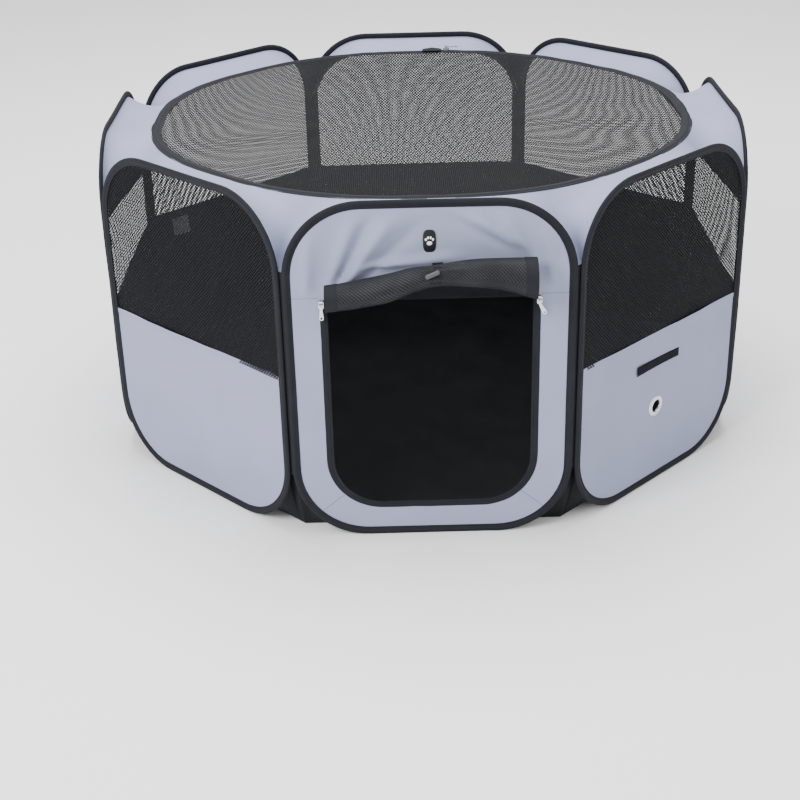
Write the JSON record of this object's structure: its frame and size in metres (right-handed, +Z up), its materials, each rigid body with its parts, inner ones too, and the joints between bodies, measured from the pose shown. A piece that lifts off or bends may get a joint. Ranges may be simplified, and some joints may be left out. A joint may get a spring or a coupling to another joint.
{
  "type": "pet playpen",
  "caption": "Free-standing folding octagonal fabric pet pen with mesh windows, a zip-off mesh roof and a roll-up mesh door.",
  "frame": {"origin": "middle of the floor, on the ground, under the middle of the octagon", "axes": "+Z up; the front wall with the door faces -Y; +X is to the right of someone who looks at the door"},
  "size_m": [1.248, 1.32, 0.648],
  "materials": {
    "grey_cloth": "matt coated polyester, light lavender grey",
    "binding": "matt woven polyester tape, charcoal",
    "mesh": "black knitted netting",
    "floor_cloth": "black coated polyester",
    "spring_wire": "flat spring steel",
    "zip_metal": "nickel plated",
    "eyelet_metal": "nickel plated, satin",
    "toggle_plastic": "moulded, dark grey",
    "tag_rubber": "moulded soft label, black",
    "hook_loop": "hook and loop tape, black"
  },
  "bodies": {
    "front": {"front_hoop_wire": "spring_wire", "front_sleeve": "binding", "front_collar": "grey_cloth", "front_cloth_top": "grey_cloth", "front_cloth_bottom": "grey_cloth", "front_cloth_left": "grey_cloth", "front_cloth_right": "grey_cloth", "door_zip_tape": "binding", "door_flap": "mesh", "door_strap": "binding", "door_toggle": "toggle_plastic", "front_tag": "tag_rubber", "floor_sheet": "floor_cloth", "roof_zip_ring": "binding", "roof_mesh": "mesh"},
    "front_right": {"front_right_hoop_wire": "spring_wire", "front_right_sleeve": "binding", "front_right_collar": "grey_cloth", "front_right_window": "mesh", "front_right_skirt": "grey_cloth", "bottle_port_eyelet": "eyelet_metal", "hook_strip": "hook_loop"},
    "right": {"right_hoop_wire": "spring_wire", "right_sleeve": "binding", "right_collar": "grey_cloth", "right_window": "mesh", "right_skirt": "grey_cloth"},
    "back_right": {"back_right_hoop_wire": "spring_wire", "back_right_sleeve": "binding", "back_right_collar": "grey_cloth", "back_right_window": "mesh", "back_right_skirt": "grey_cloth"},
    "back": {"back_hoop_wire": "spring_wire", "back_sleeve": "binding", "back_collar": "grey_cloth", "back_window": "mesh", "back_skirt": "grey_cloth"},
    "back_left": {"back_left_hoop_wire": "spring_wire", "back_left_sleeve": "binding", "back_left_collar": "grey_cloth", "back_left_window": "mesh", "back_left_skirt": "grey_cloth"},
    "left": {"left_hoop_wire": "spring_wire", "left_sleeve": "binding", "left_collar": "grey_cloth", "left_window": "mesh", "left_skirt": "grey_cloth"},
    "front_left": {"front_left_hoop_wire": "spring_wire", "front_left_sleeve": "binding", "front_left_collar": "grey_cloth", "front_left_window": "mesh", "front_left_skirt": "grey_cloth"},
    "rolled_door": {"door_roll": "mesh"},
    "slider_left": {"door_slider_left": "zip_metal"},
    "pull_left": {"door_pull_left": "zip_metal"},
    "slider_right": {"door_slider_right": "zip_metal"},
    "pull_right": {"door_pull_right": "zip_metal"},
    "zip_cover": {"roof_zip_cover": "binding"},
    "roof_zip_slider": {"roof_slider": "zip_metal"},
    "roof_zip_pull": {"roof_pull": "zip_metal"}
  },
  "joints": [
    {"name": "fold", "type": "hinge", "parent": "front", "child": "front_right", "pos_m": [0.25516, -0.616, 0.32], "axis": [0, 0, 1], "range_deg": [0, 125], "deforming": ["front_collar", "front_right_collar", "right_collar", "back_right_collar", "back_collar", "back_left_collar", "left_collar", "front_left_collar", "roof_zip_ring", "roof_mesh", "floor_sheet"]},
    {"name": "fold_right", "type": "hinge", "parent": "front_right", "child": "right", "pos_m": [0.624, -0.25847, 0.32], "axis": [0, 0, -1], "range_deg": [0, 125]},
    {"name": "fold_back_right", "type": "hinge", "parent": "right", "child": "back_right", "pos_m": [0.616, 0.25516, 0.32], "axis": [0, 0, 1], "range_deg": [0, 125]},
    {"name": "fold_back", "type": "hinge", "parent": "back_right", "child": "back", "pos_m": [0.25847, 0.624, 0.32], "axis": [0, 0, -1], "range_deg": [0, 125]},
    {"name": "fold_front_left", "type": "hinge", "parent": "front", "child": "front_left", "pos_m": [-0.25847, -0.624, 0.32], "axis": [0, 0, 1], "range_deg": [0, 125]},
    {"name": "fold_left", "type": "hinge", "parent": "front_left", "child": "left", "pos_m": [-0.616, -0.25516, 0.32], "axis": [0, 0, -1], "range_deg": [0, 125]},
    {"name": "fold_back_left", "type": "hinge", "parent": "left", "child": "back_left", "pos_m": [-0.624, 0.25847, 0.32], "axis": [0, 0, 1], "range_deg": [0, 125]},
    {"name": "zip_tuck", "type": "slide", "parent": "back", "child": "zip_cover", "axis": [0, 1, 0], "range_m": [0, 0.066]},
    {"name": "roof_zip_slide", "type": "slide", "parent": "zip_cover", "child": "roof_zip_slider", "axis": [1, 0, 0], "range_m": [0, 0.055]},
    {"name": "roof_pull_lift", "type": "hinge", "parent": "roof_zip_slider", "child": "roof_zip_pull", "pos_m": [0.074, 0.532, 0.63205], "axis": [0, -1, 0], "range_deg": [0, 170]},
    {"name": "door_unroll", "type": "slide", "parent": "front", "child": "rolled_door", "axis": [0, 0, -1], "range_m": [0, 0.4], "deforming": ["door_flap", "door_strap"]},
    {"name": "zip_slide_left", "type": "slide", "parent": "front", "child": "slider_left", "axis": [0, 0, -1], "range_m": [0, 0.3]},
    {"name": "pull_swing_left", "type": "hinge", "parent": "slider_left", "child": "pull_left", "pos_m": [-0.188, -0.62905, 0.463], "axis": [-1, 0, 0], "range_deg": [0, 170]},
    {"name": "zip_slide_right", "type": "slide", "parent": "front", "child": "slider_right", "axis": [0, 0, -1], "range_m": [0, 0.3]},
    {"name": "pull_swing_right", "type": "hinge", "parent": "slider_right", "child": "pull_right", "pos_m": [0.188, -0.62905, 0.463], "axis": [-1, 0, 0], "range_deg": [0, 170]}
  ],
  "couplings": [
    {"joint": "fold_right", "follows": "fold", "ratio": 1},
    {"joint": "fold_back_right", "follows": "fold", "ratio": 1},
    {"joint": "fold_back", "follows": "fold", "ratio": 1},
    {"joint": "fold_front_left", "follows": "fold", "ratio": 1},
    {"joint": "fold_left", "follows": "fold", "ratio": 1},
    {"joint": "fold_back_left", "follows": "fold", "ratio": 1},
    {"joint": "zip_tuck", "follows": "fold", "m_per_rad": 0.03025}
  ]
}
